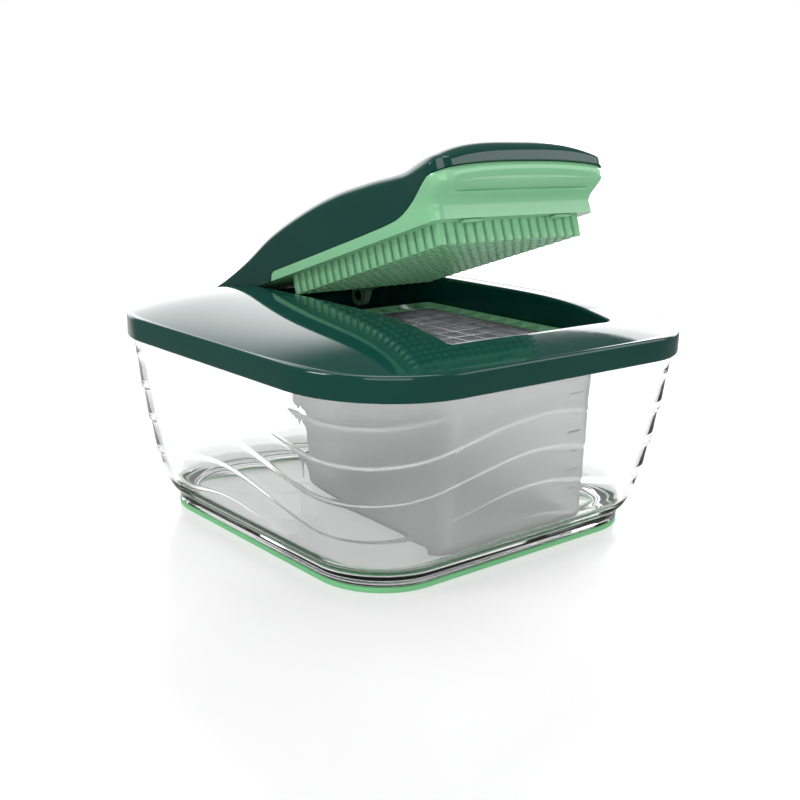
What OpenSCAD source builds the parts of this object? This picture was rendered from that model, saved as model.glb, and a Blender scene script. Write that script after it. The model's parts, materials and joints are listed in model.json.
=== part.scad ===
// Vegetable dicer. A hinged pusher lid presses food through a blade grid, which
// sits in a deck on a clear container with a frosted collection box inside.
// Origin: centre of the underside. The lid's front grip points along -Y, its hinge
// is at the +Y side, +Z is up. The lid is drawn closed and then turned to its rest pose.

/* [Deck] */
// Side length of the square deck
deck_size = 240; // [239:0.5:243]
// Corner radius of the deck
deck_corner = 55; // [54:0.5:57]
// Height of the deck's lower edge
deck_bottom = 95; // [94:0.5:95]
// Height of the rim, where the crowned top starts
rim_top = 107; // [106:0.5:108]
// Rise of the crowned top above the rim
crown_rise = 15; // [13:0.5:15]
// Wall thickness of the deck
deck_wall = 2.5; // [2:0.1:2.8]

/* [Container] */
// Half width of the container just above its foot
bowl_low_half = 98; // [96:0.5:98.5]
// Half width of the container at its rim
bowl_top_half = 116; // [114:0.5:116]
// Height of the container's rim
bowl_top = 98.4; // [98:0.1:98.5]
// Thickness of the container's wall
bowl_wall = 2.4; // [2:0.1:2.8]
// Height of the soft ring under the foot
grip_height = 3; // [2.5:0.1:3]

/* [Blades] */
// Size of one diced cube
cell = 12; // [12:0.01:12.02]
// Number of cells across the grid
cells_x = 8; // [8:8]
// Number of cells along the grid
cells_y = 10; // [10:10]
// Thickness of a blade
blade_thick = 0.5; // [0.4:0.05:0.6]
// Height of the blades' cutting edges
blade_top = 105.3; // [105:0.1:105.4]
// Depth of a blade
blade_depth = 6.4; // [6:0.1:6.8]

/* [Lid] */
// How far the lid stands open, in degrees
lid_open = 18.3; // [0:0.1:60]
// Half width of the lid
lid_half = 53; // [52.6:0.1:53.2]
// Front end of the lid's cover
lid_front = -107.5; // [-108:0.1:-107]
// Wall thickness of the lid's cover
cover_wall = 2; // [1.6:0.1:2.2]
// Rise of the cover from its edges to its middle
cover_crown = 7; // [6:0.1:8]
// Side of one square pusher pin
pin_side = 4.1; // [3.8:0.1:4.7]
// Length of a pusher pin
pin_length = 10.2; // [9:0.1:10.4]

/* [Hinge] */
// Distance of the hinge axis behind the centre
hinge_y = 95; // [95:0.1:95.2]
// Height of the hinge axis
hinge_z = 102; // [102:0.1:102.2]
// Radius of a hinge pin
hinge_pin_r = 3; // [2.5:0.1:3.2]
// Running clearance around a hinge pin
hinge_gap = 0.05; // [0.03:0.01:0.08]

/* [Hidden] */
LONG_BLADES = cells_x - 1;
CROSS_BLADES = cells_y - 1;

$fn = 48;
tiny = 0.01;

// Blade grid: its middle and its four sides
grid_y = -31;
grid_half_x = cells_x * cell / 2;
grid_half_y = cells_y * cell / 2;

// Well: the opening in the deck that the lid closes into
well_half = 54.2;
well_front = -98.2;
well_back = 109.5;
well_corner = 3;
well_wall = 2.3;
ledge_top = 97.2;
recess_front = 37.5;
recess_floor = 88;
recess_wall = 2;
divider_top = 103;
ledge_window_gap = 1.3;

// Deck crown: the fall of the top towards the rim, along super-elliptic contours
crown_power = 3.44;
contour_power = 4.89;
crown_edge = 1.5;
seat_inner = 111;
seat_outer = 117;
seat_inner_corner = 46;
seat_outer_corner = 48.5;
seat_gap = 0.3;

// Foot of the container
foot_half = 96;
foot_corner = 35.5;
foot_inner = 88;
bowl_floor = 8.6;
bowl_curve = 0.62;
bowl_corner_growth = 0.55;
bowl_curve_start = 10;

// Collection box
box_bottom = 10.2;
box_top = 94.8;
box_half_x = 51;
box_half_y = 64;
box_corner = 8;
box_wall = 1.6;

// Insert frame that carries the blades
insert_half_x = 53.6;
insert_front = -97.6;
insert_back = 36.9;
insert_corner = 3.6;
insert_bottom = 97.3;
insert_lip = 105.2;
insert_inner_top = 103.8;
groove = 1.3;
slot_width = 0.7;

// Lid
lid_bottom = 107;
strip_end = 39.5;
strip_round = 5;
front_wall = 2.2;
grip_foot_y = -97;
grip_reach = 10.1;
lid_corner = 6;
parting_gap = 0.3;
strip_top = 111.6;
strip_gap = 0.8;
flare_out = 3.4;
front_lift = 2.6;
crown_roll = 3;
tray_thick = 1.8;
tray_front = -96;
tray_back = 37.5;
hinge_tray_front = 20;
hinge_tray_back = 84;
barrel_r = 13;
lid_back = 107;
edge_round = 5;
edge_rise = 3.8;
nose_length = 12.5;
arch_rise = 3.7;
arch_power = 2.6;
arm_outer = 50.6;
arm_inner = 46;
ear_r = 6.5;
plate_thick = 1.7;
pitch = cell / 2;
hinge_pin_length = 12.5;
tray_low = lid_bottom + plate_thick + 0.1;
boss_r = 6;
boss_length = 6;

// Heights at which the grip's front face has a point
grip_levels = [lid_bottom, 110, 112, 114, 116, 118, 120, 122, 124, 125.8];
// Height of the cover's side edge along the lid, from the front to the hinge
edge_curve = [[-107.5, 128.4], [-90, 129.3], [-73, 128.7], [-50, 130.9], [-25, 132.4],
              [0, 131.4], [32, 127.2], [59, 120.6], [84, 116.4], [95, 115]];
// Height of the parting line between the cover and the body, along the lid's side
parting_curve = [[-107.5, 126.6], [-101, 126.2], [-93, 123], [-85, 119], [-77, 115.2],
                 [-70, 113.2], [-57, 112.4], [-30, 112], [34.5, 111.6]];

// ---- helpers ----

// Smooth step from 0 at a to 1 at b
function ramp(a, b, x) = let (t = max(0, min(1, (x - a) / (b - a)))) t * t * (3 - 2 * t);

// Slope of a curve at its point i
function slope(p, i) =
    i == 0 ? (p[1][1] - p[0][1]) / (p[1][0] - p[0][0]) :
    i == len(p) - 1 ? (p[i][1] - p[i - 1][1]) / (p[i][0] - p[i - 1][0]) :
    (p[i + 1][1] - p[i - 1][1]) / (p[i + 1][0] - p[i - 1][0]);

// Smooth curve through points p with rising first values, at x
function curve(p, x, i = 0) =
    x > p[i + 1][0] && i < len(p) - 2 ? curve(p, x, i + 1) :
    let (h = p[i + 1][0] - p[i][0], t = max(0, min(1, (x - p[i][0]) / h)))
    (2 * pow(t, 3) - 3 * t * t + 1) * p[i][1] + (pow(t, 3) - 2 * t * t + t) * h * slope(p, i)
    + (3 * t * t - 2 * pow(t, 3)) * p[i + 1][1] + (pow(t, 3) - t * t) * h * slope(p, i + 1);

function arc(cx, cy, r, from, n) =
    [for (i = [0:n]) [cx + r * cos(from + 90 * i / n), cy + r * sin(from + 90 * i / n)]];
function side(a, b, m) = [for (i = [1:1:m - 1]) a + (b - a) * i / m];

// Rounded rectangle, anticlockwise: n steps a corner, mx and my steps a side
function outline(x0, x1, y0, y1, r, n, mx, my) = concat(
    arc(x1 - r, y1 - r, r, 0, n), side([x1 - r, y1], [x0 + r, y1], mx),
    arc(x0 + r, y1 - r, r, 90, n), side([x0, y1 - r], [x0, y0 + r], my),
    arc(x0 + r, y0 + r, r, 180, n), side([x0 + r, y0], [x1 - r, y0], mx),
    arc(x1 - r, y0 + r, r, 270, n), side([x1, y0 + r], [x1, y1 - r], my));

// An outline lifted to height z
function lift(points, z) = [for (p = points) [p[0], p[1], z]];

// Middle of a ring
function middle(ring) = [for (axis = [0:2]) [for (p = ring) p[axis]] * [for (p = ring) 1] / len(ring)];

// Solid through a stack of rings; closed joins the last ring to the first, and
// otherwise a fan from the ring's middle closes each end
module skin(rings, closed = false) {
    n = len(rings[0]);
    k = len(rings);
    faces = [for (i = [0:(closed ? k - 1 : k - 2)]) for (j = [0:n - 1])
        let (a = i * n + j, b = i * n + (j + 1) % n,
             c = ((i + 1) % k) * n + (j + 1) % n, d = ((i + 1) % k) * n + j)
        each [[a, c, b], [a, d, c]]];
    fans = closed ? [] : [for (j = [0:n - 1]) each
        [[k * n, j, (j + 1) % n], [k * n + 1, (k - 1) * n + (j + 1) % n, (k - 1) * n + j]]];
    points = [for (ring = rings) each ring];
    ends = closed ? [] : [middle(rings[0]), middle(rings[k - 1])];
    polyhedron(concat(points, ends), concat(faces, fans));
}

// Flat rounded rectangle with exact corners
module rounded_plate(x0, x1, y0, y1, r) {
    square_x = x1 - x0 - 2 * r;
    square_y = y1 - y0 - 2 * r;
    translate([x0 + r, y0]) square([square_x, y1 - y0]);
    translate([x0, y0 + r]) square([x1 - x0, square_y]);
    for (x = [x0 + r, x1 - r], y = [y0 + r, y1 - r])
        translate([x, y]) circle(r);
}

// Turns the closed lid to its rest pose
module lid_pose() {
    translate([0, hinge_y, hinge_z]) rotate([-lid_open, 0, 0])
        translate([0, -hinge_y, -hinge_z]) children();
}

// Extrudes a (y, z) profile along X between x0 and x1
module along_x(x0, x1) {
    translate([x0, 0, 0]) rotate([90, 0, 90]) linear_extrude(x1 - x0) children();
}

// ---- container ----

function bowl_half(z) = let (t = (z - bowl_curve_start) / (bowl_top - bowl_curve_start))
    bowl_low_half + (bowl_top_half - bowl_low_half) * pow(t, bowl_curve);
function bowl_ring(half, z, inset = 0) =
    let (h = half - inset, r = foot_corner + bowl_corner_growth * (half - foot_half) - inset)
    lift(outline(-h, h, -h, h, r, 10, 2, 2), z);

module container_bowl() {
    foot = [[foot_half - 0.6, grip_height], [foot_half, grip_height + 0.7],
            [foot_half + 0.3, 6], [foot_half + 1, 8]];
    wall = [10, 13, 17, 24, 33, 45, 58, 72, 86, bowl_top];
    color([0.9, 0.95, 0.95, 0.4]) skin(concat(
        [bowl_ring(foot_inner - 2, grip_height + 2), bowl_ring(foot_inner, grip_height + 1.6),
         bowl_ring(foot_inner + 1.5, grip_height)],
        [for (p = foot) bowl_ring(p[0], p[1])],
        [for (z = wall) bowl_ring(bowl_half(z), z)],
        [for (i = [len(wall) - 1:-1:2]) bowl_ring(bowl_half(wall[i]), wall[i], bowl_wall)],
        [bowl_ring(bowl_half(13), 12.5, 3.6), bowl_ring(bowl_half(10), 9.8, 5),
         bowl_ring(bowl_low_half, bowl_floor, 9)]));
}

module base_grip_ring() {
    inner_corner = foot_corner - (foot_half - foot_inner);
    color([0.55, 0.85, 0.6]) linear_extrude(grip_height) difference() {
        rounded_plate(-foot_half, foot_half, -foot_half, foot_half, foot_corner);
        rounded_plate(-foot_inner, foot_inner, -foot_inner, foot_inner, inner_corner);
    }
}

// ---- collection box ----

function box_ring(inset, r, z) = lift(outline(-box_half_x + inset, box_half_x - inset,
    grid_y - box_half_y + inset, grid_y + box_half_y - inset, r, 4, 1, 1), z);

module collection_box() {
    color([0.9, 0.92, 0.92, 0.7]) skin([
        box_ring(3.5, box_corner - 2, box_bottom), box_ring(2.5, box_corner - 1, box_bottom + 1),
        box_ring(0, box_corner, box_top), box_ring(box_wall, box_corner - box_wall, box_top),
        box_ring(2.4 + box_wall, box_corner - 1 - box_wall, box_bottom + 3),
        box_ring(3.4 + box_wall, box_corner - 2 - box_wall, box_bottom + 2)]);
}

// ---- deck ----

// How far out a point is: 0 in the middle of the deck, 1 at its edge
function contour(x, y) = let (s = deck_size / 2 - crown_edge)
    pow(pow(abs(x) / s, contour_power) + pow(abs(y) / s, contour_power), 1 / contour_power);
function crown(x, y) = rim_top + crown_rise * (1 - pow(min(1, contour(x, y)), crown_power));
function deck_outline(inset) = let (h = deck_size / 2 - inset)
    outline(-h, h, -h, h, deck_corner - inset, 8, 8, 8);
function well_outline(out) = outline(-well_half - out, well_half + out, well_front - out,
    well_back + out, well_corner + out, 8, 8, 8);
function seat_outline(h, r) = outline(-h, h, -h, h, r, 8, 8, 8);
// Ring a share t of the way from the well to the rim, on the crown lowered by drop
function crown_ring(t, out, inset, drop) = let (a = well_outline(out), b = deck_outline(inset))
    [for (i = [0:len(a) - 1]) let (p = a[i] + (b[i] - a[i]) * t)
        [p[0], p[1], crown(p[0], p[1]) - drop]];
// Ring on the well's outline, just under the crown
function well_ring(out, drop) = [for (p = well_outline(out)) [p[0], p[1], crown(p[0], p[1]) - drop]];

module deck_shell() {
    steps = [0, 0.08, 0.2, 0.35, 0.5, 0.65, 0.78, 0.88, 0.95, 1];
    last = len(steps) - 1;
    seat_roof = bowl_top + seat_gap;
    skin(concat(
        [lift(well_outline(well_wall), deck_bottom), well_ring(well_wall, deck_wall)],
        [for (i = [1:last - 1])
            crown_ring(steps[i], well_wall, deck_size / 2 - seat_inner + 1, deck_wall)],
        [lift(seat_outline(seat_inner, seat_inner_corner), rim_top - deck_wall),
         lift(seat_outline(seat_inner, seat_inner_corner), seat_roof),
         lift(seat_outline(seat_outer, seat_outer_corner), seat_roof),
         lift(seat_outline(seat_outer, seat_outer_corner), deck_bottom),
         lift(deck_outline(0), deck_bottom), lift(deck_outline(0.1), rim_top - 2),
         lift(deck_outline(0.6), rim_top - 0.7)],
        [for (i = [last:-1:0]) crown_ring(steps[i], 0.8, crown_edge, 0)],
        [well_ring(0, 1), lift(well_outline(0), deck_bottom)]), closed = true);
}

// Ledge that the insert rests on
module deck_ledge() {
    outer = well_half + 1;
    translate([0, 0, deck_bottom]) linear_extrude(ledge_top - deck_bottom) difference() {
        rounded_plate(-outer, outer, well_front - 1, recess_front + 1, well_corner);
        rounded_plate(-grid_half_x - ledge_window_gap, grid_half_x + ledge_window_gap,
            grid_y - grid_half_y - ledge_window_gap, grid_y + grid_half_y + ledge_window_gap, 4);
    }
}

// Sunk trough for the lid's tail, with the wall that divides it from the insert
module deck_recess() {
    low = recess_floor - recess_wall;
    outer = well_half + well_wall;
    back = well_back + well_wall;
    difference() {
        union() {
            translate([0, 0, low]) linear_extrude(deck_bottom + 0.5 - low)
                rounded_plate(-outer, outer, recess_front, back, well_corner);
            translate([-well_half - 0.5, recess_front, low])
                cube([2 * well_half + 1, well_wall, divider_top - low]);
        }
        translate([0, 0, recess_floor]) linear_extrude(20)
            rounded_plate(-well_half, well_half, recess_front + well_wall, well_back, well_corner - 1);
    }
}

module deck_frame() {
    color([0.04, 0.28, 0.24]) difference() {
        union() {
            deck_shell();
            deck_ledge();
            deck_recess();
            for (s = [-1, 1])
                translate([s * (well_half + 1), hinge_y, hinge_z]) rotate([0, s * 90, 0])
                    cylinder(r = boss_r, h = boss_length);
        }
        for (s = [-1, 1])
            translate([s * (well_half - 1), hinge_y, hinge_z]) rotate([0, s * 90, 0])
                cylinder(r = hinge_pin_r + 0.02, h = boss_length + 0.5);
    }
}

module hinge_pin(s) {
    color([0.75, 0.76, 0.78]) translate([s * arm_inner, hinge_y, hinge_z]) rotate([0, s * 90, 0])
        cylinder(r = hinge_pin_r, h = hinge_pin_length);
}

// ---- blade insert ----

function insert_ring(inset, z) = lift(outline(-insert_half_x + inset, insert_half_x - inset,
    insert_front + inset, insert_back - inset, insert_corner - inset, 5, 2, 2), z);
function window_ring(out, z) = lift(outline(-grid_half_x - out, grid_half_x + out,
    grid_y - grid_half_y - out, grid_y + grid_half_y + out, 1 + out, 5, 2, 2), z);

module insert_frame() {
    reach = groove + tiny;
    color([0.6, 0.88, 0.65]) difference() {
        skin([insert_ring(0, insert_bottom), insert_ring(0, insert_lip - 0.6),
              insert_ring(0.6, insert_lip), window_ring(0.6, insert_inner_top),
              window_ring(0, insert_inner_top - 0.6), window_ring(0, insert_bottom)], closed = true);
        for (i = [1:LONG_BLADES])
            translate([-grid_half_x + i * cell - slot_width / 2, grid_y - grid_half_y - reach,
                       blade_top - blade_depth - 0.1])
                cube([slot_width, 2 * (grid_half_y + reach), 10]);
        for (i = [1:CROSS_BLADES])
            translate([-grid_half_x - reach, grid_y - grid_half_y + i * cell - slot_width / 2,
                       blade_top - blade_depth - 0.1])
                cube([2 * (grid_half_x + reach), slot_width, 10]);
    }
}

// Blade along Y, slotted from below where the cross blades pass
module long_blade(i) {
    half = grid_half_y + groove - 0.1;
    color([0.8, 0.82, 0.84]) translate([-grid_half_x + i * cell, grid_y, blade_top - blade_depth])
        difference() {
            translate([-blade_thick / 2, -half, 0]) cube([blade_thick, 2 * half, blade_depth]);
            for (j = [1:CROSS_BLADES])
                translate([-1, -grid_half_y + j * cell - slot_width / 2, -1])
                    cube([2, slot_width, 1 + blade_depth / 2 + 0.1]);
        }
}

// Blade along X, slotted from above where the long blades pass
module cross_blade(j) {
    half = grid_half_x + groove - 0.1;
    color([0.8, 0.82, 0.84]) translate([0, grid_y - grid_half_y + j * cell, blade_top - blade_depth])
        difference() {
            translate([-half, -blade_thick / 2, 0]) cube([2 * half, blade_thick, blade_depth]);
            for (i = [1:LONG_BLADES])
                translate([-grid_half_x + i * cell - slot_width / 2, -1, blade_depth / 2 - 0.1])
                    cube([slot_width, 2, blade_depth]);
        }
}

// ---- lid ----

// Height of the cover's edge at y: the side curve, then the barrel round the hinge
function edge_height(y) = y < hinge_y ? curve(edge_curve, y)
    : hinge_z + sqrt(max(0, barrel_r * barrel_r - pow(y - hinge_y, 2)));
// Rise above the edge at x: a rounded shoulder and a flat crown
function cover_rise(x) = let (d = max(0, abs(x) - (lid_half - edge_round)) / edge_round)
    edge_rise * sqrt(max(0, 1 - d * d)) + cover_crown * (1 - pow(abs(x) / lid_half, crown_roll));
// The rise rounds off at the nose and flattens towards the hinge
function nose(y) = sqrt(max(0, 1 - pow(max(0, lid_front + nose_length - y) / nose_length, 2)));
function cover_height(x, y) = edge_height(y) + arch(x) * (1 - nose(y))
    + front_lift * (1 - pow(abs(x) / lid_half, 4)) * ramp(-65, -100, y)
    + cover_rise(x) * nose(y) * (1 - 0.95 * ramp(40, 100, y));
// Lower edge of the cover: the parting line, and the drop behind the green strip
function arch(x) = arch_rise * (1 - pow(min(1, abs(x) / lid_half), arch_power));
// Top of the body's side strip where it rounds off at its rear end
function strip_fall(y) = let (d = min(1, max(0, y - (strip_end - strip_round)) / strip_round))
    lid_bottom + (strip_top - lid_bottom) * sqrt(1 - d * d);
// Lower edge of the cover behind the strip, lifted a little at the tail's end
function tail_low(y) = lid_bottom - 0.2 - 2.3 * ramp(99, 106, y);
function cover_low(x, y) = y > strip_end - strip_round
    ? max(tail_low(y), strip_fall(y - strip_gap) + parting_gap - (y > strip_end + strip_gap ? 1 : 0))
    : curve(parting_curve, y) + parting_gap + arch(x) * (1 - ramp(lid_front, lid_front + 8, y));
// The sides flare outwards at the top of the front
function flare(y, z) = 1 + flare_out / lid_half * ramp(-75, -103, y) * ramp(113, 126, z);

function lid_outline(inset) = outline(-lid_half + inset, lid_half - inset, lid_front + inset,
    lid_back - inset, lid_corner - inset, 5, 6, 60);
// Ring at a share t of the way from the lid's middle to its outline
function cover_ring(t, inset, drop) = let (mid = (lid_front + lid_back) / 2)
    [for (p = lid_outline(inset))
        let (x = p[0] * t, y = mid + (p[1] - mid) * t, z = cover_height(x, y) - drop)
        [x * flare(y, z), y, z]];
function cover_rim(inset) = [for (p = lid_outline(inset)) let (z = cover_low(p[0], p[1]))
    [p[0] * flare(p[1], z), p[1], z]];

module lid_cover() {
    outer = [0.03, 0.3, 0.55, 0.75, 0.87, 0.93, 0.97, 0.99, 1];
    inner = [0.03, 0.3, 0.55, 0.75, 0.88, 0.95, 1];
    color([0.04, 0.28, 0.24]) lid_pose() skin(concat(
        [for (t = inner) cover_ring(t, cover_wall, cover_wall)],
        [cover_rim(cover_wall), cover_rim(0)],
        [for (i = [len(outer) - 1:-1:0]) cover_ring(outer[i], 0, 0)]));
}

// Front face of the grip in (y, z): upright at the bottom, flared to the lip
function grip_y(z) = grip_foot_y - grip_reach * pow(ramp(112, 125.5, z), 1.15);

module grip_profile() {
    polygon(concat([for (z = grip_levels) [grip_y(z), z]],
        [for (y = [-102:4:34]) [y, curve(parting_curve, y)]],
        [for (a = [0:15:90]) [strip_end - strip_round + strip_round * sin(a),
            lid_bottom + (strip_top - lid_bottom) * cos(a)]]));
}

module grip_band() {
    levels = concat(grip_levels, [131]);
    polygon(concat([for (z = levels) [grip_y(z), z]],
        [for (i = [len(levels) - 1:-1:0]) [grip_y(levels[i]) + front_wall, levels[i]]]));
}

// Arched limit of the grip's front wall, seen from the front
module arch_face() {
    polygon(concat([[-lid_half, lid_bottom - 1]], [[lid_half, lid_bottom - 1], [lid_half, 125.6]],
        [for (x = [45:-5:-45]) [x, 125.6 + max(0, arch(x) - 0.9)]], [[-lid_half, 125.6]]));
}

module lid_body() {
    color([0.6, 0.88, 0.65]) lid_pose() difference() {
        intersection() {
            union() {
                for (x = [-lid_half, lid_half - cover_wall])
                    along_x(x, x + cover_wall) grip_profile();
                intersection() {
                    along_x(-lid_half, lid_half) grip_band();
                    rotate([90, 0, 0]) translate([0, 0, 80])
                        linear_extrude(40) arch_face();
                }
                translate([-lid_half + 1, tray_front, tray_low])
                    cube([2 * lid_half - 2, tray_back - tray_front, tray_thick]);
                translate([-arm_outer, hinge_tray_front, tray_low])
                    cube([2 * arm_outer, hinge_tray_back - hinge_tray_front, tray_thick]);
                for (s = [-1, 1])
                    along_x(s > 0 ? arm_inner : -arm_outer, s > 0 ? arm_outer : -arm_inner)
                        hinge_arm();
            }
            linear_extrude(200)
                rounded_plate(-lid_half, lid_half, lid_front, 130, lid_corner);
        }
        for (s = [-1, 1])
            translate([s * (arm_inner - 1), hinge_y, hinge_z]) rotate([0, s * 90, 0])
                cylinder(r = hinge_pin_r + hinge_gap, h = 8);
    }
}

// Arm in (y, z) from the tray back to the round ear on the hinge
module hinge_arm() {
    polygon([[45, lid_bottom + plate_thick + 0.2], [86, lid_bottom - 4], [hinge_y - 3, hinge_z - 5.5],
             [hinge_y + 3, hinge_z + 5.5], [80, 111.6], [45, 111.6]]);
    translate([hinge_y, hinge_z]) circle(ear_r);
}

module pin_plate() {
    plate_half = 50.6;
    front = -94.6;
    tab_width = 12;
    tab_thick = 1.6;
    tab_reach = 1.8;
    color([0.6, 0.88, 0.65]) lid_pose() {
        translate([-plate_half, front, lid_bottom])
            cube([2 * plate_half, 34 - front, plate_thick]);
        translate([-grid_half_x, grid_y - grid_half_y, lid_bottom - pin_length])
            for (i = [0:2 * cells_x - 1], j = [0:2 * cells_y - 1])
                translate([(i + 0.5) * pitch - pin_side / 2, (j + 0.5) * pitch - pin_side / 2, 0])
                    cube([pin_side, pin_side, pin_length + 0.5]);
        for (x = [-30, 30]) {
            translate([x - tab_width / 2, front - tab_reach, lid_bottom - tab_thick])
                cube([tab_width, tab_reach + 3, tab_thick - 0.05]);
            translate([x - tab_width / 2, front, lid_bottom - tab_thick])
                cube([tab_width, 3, tab_thick + 0.5]);
        }
    }
}

container_bowl();
base_grip_ring();
collection_box();
deck_frame();
hinge_pin(-1);  // hinge_pin_left
hinge_pin(1);  // hinge_pin_right
insert_frame();
for (i = [1:LONG_BLADES])
    long_blade(i);
for (j = [1:CROSS_BLADES])
    cross_blade(j);
lid_body();
lid_cover();
pin_plate();
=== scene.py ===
import json
import math

import bpy
from mathutils import Matrix, Vector


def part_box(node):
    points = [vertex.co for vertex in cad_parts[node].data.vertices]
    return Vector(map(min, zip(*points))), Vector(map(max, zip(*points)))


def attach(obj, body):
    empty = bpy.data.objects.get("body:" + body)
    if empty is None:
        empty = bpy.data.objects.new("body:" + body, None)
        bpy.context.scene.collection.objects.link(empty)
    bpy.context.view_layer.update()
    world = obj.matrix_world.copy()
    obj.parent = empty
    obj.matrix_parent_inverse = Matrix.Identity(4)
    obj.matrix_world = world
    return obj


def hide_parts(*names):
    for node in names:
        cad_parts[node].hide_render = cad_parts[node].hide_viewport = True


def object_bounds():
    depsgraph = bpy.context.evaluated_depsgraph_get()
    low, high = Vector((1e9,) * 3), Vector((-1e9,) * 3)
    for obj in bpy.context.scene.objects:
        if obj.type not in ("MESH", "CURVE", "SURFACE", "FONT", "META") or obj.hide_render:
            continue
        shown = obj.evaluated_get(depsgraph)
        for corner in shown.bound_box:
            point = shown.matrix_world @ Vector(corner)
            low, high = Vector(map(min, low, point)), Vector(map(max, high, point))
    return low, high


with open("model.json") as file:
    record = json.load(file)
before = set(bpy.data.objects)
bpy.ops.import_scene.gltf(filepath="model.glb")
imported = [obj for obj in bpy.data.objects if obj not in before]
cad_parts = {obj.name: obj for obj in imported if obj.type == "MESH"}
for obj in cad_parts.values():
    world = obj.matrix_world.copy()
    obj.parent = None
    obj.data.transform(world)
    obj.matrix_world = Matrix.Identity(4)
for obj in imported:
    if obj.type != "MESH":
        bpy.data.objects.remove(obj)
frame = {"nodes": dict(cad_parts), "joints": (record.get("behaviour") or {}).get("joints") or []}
cad_box = [list(corner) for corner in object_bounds()]

# Shapes are worked out in millimetres, as in the design, and written in metres
MM = 0.001

# ---- places taken from the frame ----

hinge = next(joint for joint in frame["joints"] if joint["name"] == "lid_hinge")
LID_OPEN = math.radians(-hinge["range_deg"][0])
HINGE_Y, HINGE_Z = (value / MM for value in hinge["pos_m"][1:])
DECK_HALF = cad_box[1][0] / MM
DECK_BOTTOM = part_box("hinge_pin_left")[0][2] / MM - 4

# ---- sizes in millimetres, as in the design ----

# Deck
DECK_CORNER = 55
RIM_TOP = 107
CROWN_RISE = 15
CROWN_POWER = 3.44
CONTOUR_POWER = 4.89
CROWN_EDGE = 1.5
DECK_WALL = 2.5
SEAT_INNER = 111
SEAT_OUTER = 117
SEAT_INNER_CORNER = 46
SEAT_OUTER_CORNER = 48.5
RIM_ROUND = 1.8

# Well in the deck, its ledge for the insert and the trough for the lid's tail
WELL_HALF = 54.2
WELL_FRONT = -98.2
WELL_BACK = 109.5
WELL_CORNER = 3
WELL_WALL = 2.3
WELL_EDGE = 1.6
LEDGE_TOP = 97.2
LEDGE_INNER = 49.3
RECESS_FRONT = 37.5
RECESS_FLOOR = 88
RECESS_WALL = 2
RIB_TOP = 103
BOSS_R = 6
BOSS_LENGTH = 6

# Container: its foot, its wall and the moulded waves on the wall
FOOT_HALF = 96
FOOT_CORNER = 35.5
FOOT_INNER = 88
GRIP_HEIGHT = 3
BOWL_LOW_HALF = 98
BOWL_TOP_HALF = 116
BOWL_TOP = 98.4
BOWL_WALL = 2.4
BOWL_START = 10
BOWL_POWER = 0.62
BOWL_CORNER_GROWTH = 0.55
BOWL_FLOOR = 8.6
WAVE_PITCH = 18
WAVE_FIRST = 17
WAVE_SWING = 7
WAVE_DEPTH = 0.9

# Blade grid: its middle and half its length each way
GRID_Y = -31
GRID_HALF_X = 48
GRID_HALF_Y = 60

# Collection box and the level marks on its front
BOX_BOTTOM = 10.2
BOX_TOP = 94.8
BOX_WALL = 1.6
MARK_COUNT = 7
MARK_FIRST = 28
MARK_PITCH = 10
MARK_END = 40
MARK_LONG = 9
MARK_SHORT = 5

# Lid: the cover, the body under it and the pusher plate
LID_HALF = 53
LID_FRONT = -107.5
LID_BACK = 107
LID_BOTTOM = 107
LID_CORNER = 6
LID_FRONT_CORNER = 9
FLARE_OUT = 3.4
FRONT_LIFT = 2.55
CROWN_ROLL = 3
COVER_WALL = 2
COVER_CROWN = 7
EDGE_ROUND = 5
EDGE_RISE = 3.8
NOSE_LENGTH = 12.5
ARCH_RISE = 3.7
ARCH_POWER = 2.6
BARREL_R = 13
STRIP_END = 39.5
STRIP_ROUND = 5
STRIP_TOP = 111.6
PARTING_GAP = 0.35
PLATE_THICK = 1.7
PLATE_HALF = 50.6
PLATE_FRONT = -94.6
PLATE_BACK = 34
TAB_X = 30
TRAY_THICK = 1.8
ARM_INNER = 46
ARM_OUTER = 50.6
EAR_R = 6.5
PIN_SIDE = 4.1
PIN_PITCH = 6
PIN_LENGTH = 10.2
PIN_COLUMNS = 16
PIN_ROWS = 20

# Height of the cover's side edge along the lid, from the front to the hinge
EDGE_CURVE = [(-107.5, 128.4), (-90, 129.3), (-73, 128.7), (-50, 130.9), (-25, 132.4),
              (0, 131.4), (32, 127.2), (59, 120.6), (84, 116.4), (95, 115)]
# Height of the joint between cover and body along the lid's side
PARTING_CURVE = [(-107.5, 126.6), (-101, 126.2), (-93, 123), (-85, 119), (-77, 115.2),
                 (-70, 113.2), (-57, 112.4), (-30, 112), (34.5, 111.6)]

# Direction of the bright backdrop, seen from above, and the room's light elsewhere
BACKDROP = (0.5, 0.866)
ROOM_LIGHT = 0.22


# ---- curves and outlines ----

def ramp(a, b, x):
    """Smooth step from 0 at a to 1 at b."""
    t = max(0.0, min(1.0, (x - a) / (b - a)))
    return t * t * (3 - 2 * t)


def curve(points, x):
    """Smooth curve through points with rising first values, at x."""
    def slope(i):
        low, high = max(i - 1, 0), min(i + 1, len(points) - 1)
        return (points[high][1] - points[low][1]) / (points[high][0] - points[low][0])
    i = 0
    while i < len(points) - 2 and x > points[i + 1][0]:
        i += 1
    span = points[i + 1][0] - points[i][0]
    t = max(0.0, min(1.0, (x - points[i][0]) / span))
    return ((2 * t ** 3 - 3 * t * t + 1) * points[i][1] + (t ** 3 - 2 * t * t + t) * span * slope(i)
            + (3 * t * t - 2 * t ** 3) * points[i + 1][1] + (t ** 3 - t * t) * span * slope(i + 1))


def arc(cx, cy, r, start, n):
    angles = [math.radians(start + 90 * i / n) for i in range(n + 1)]
    return [(cx + r * math.cos(a), cy + r * math.sin(a)) for a in angles]


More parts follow.
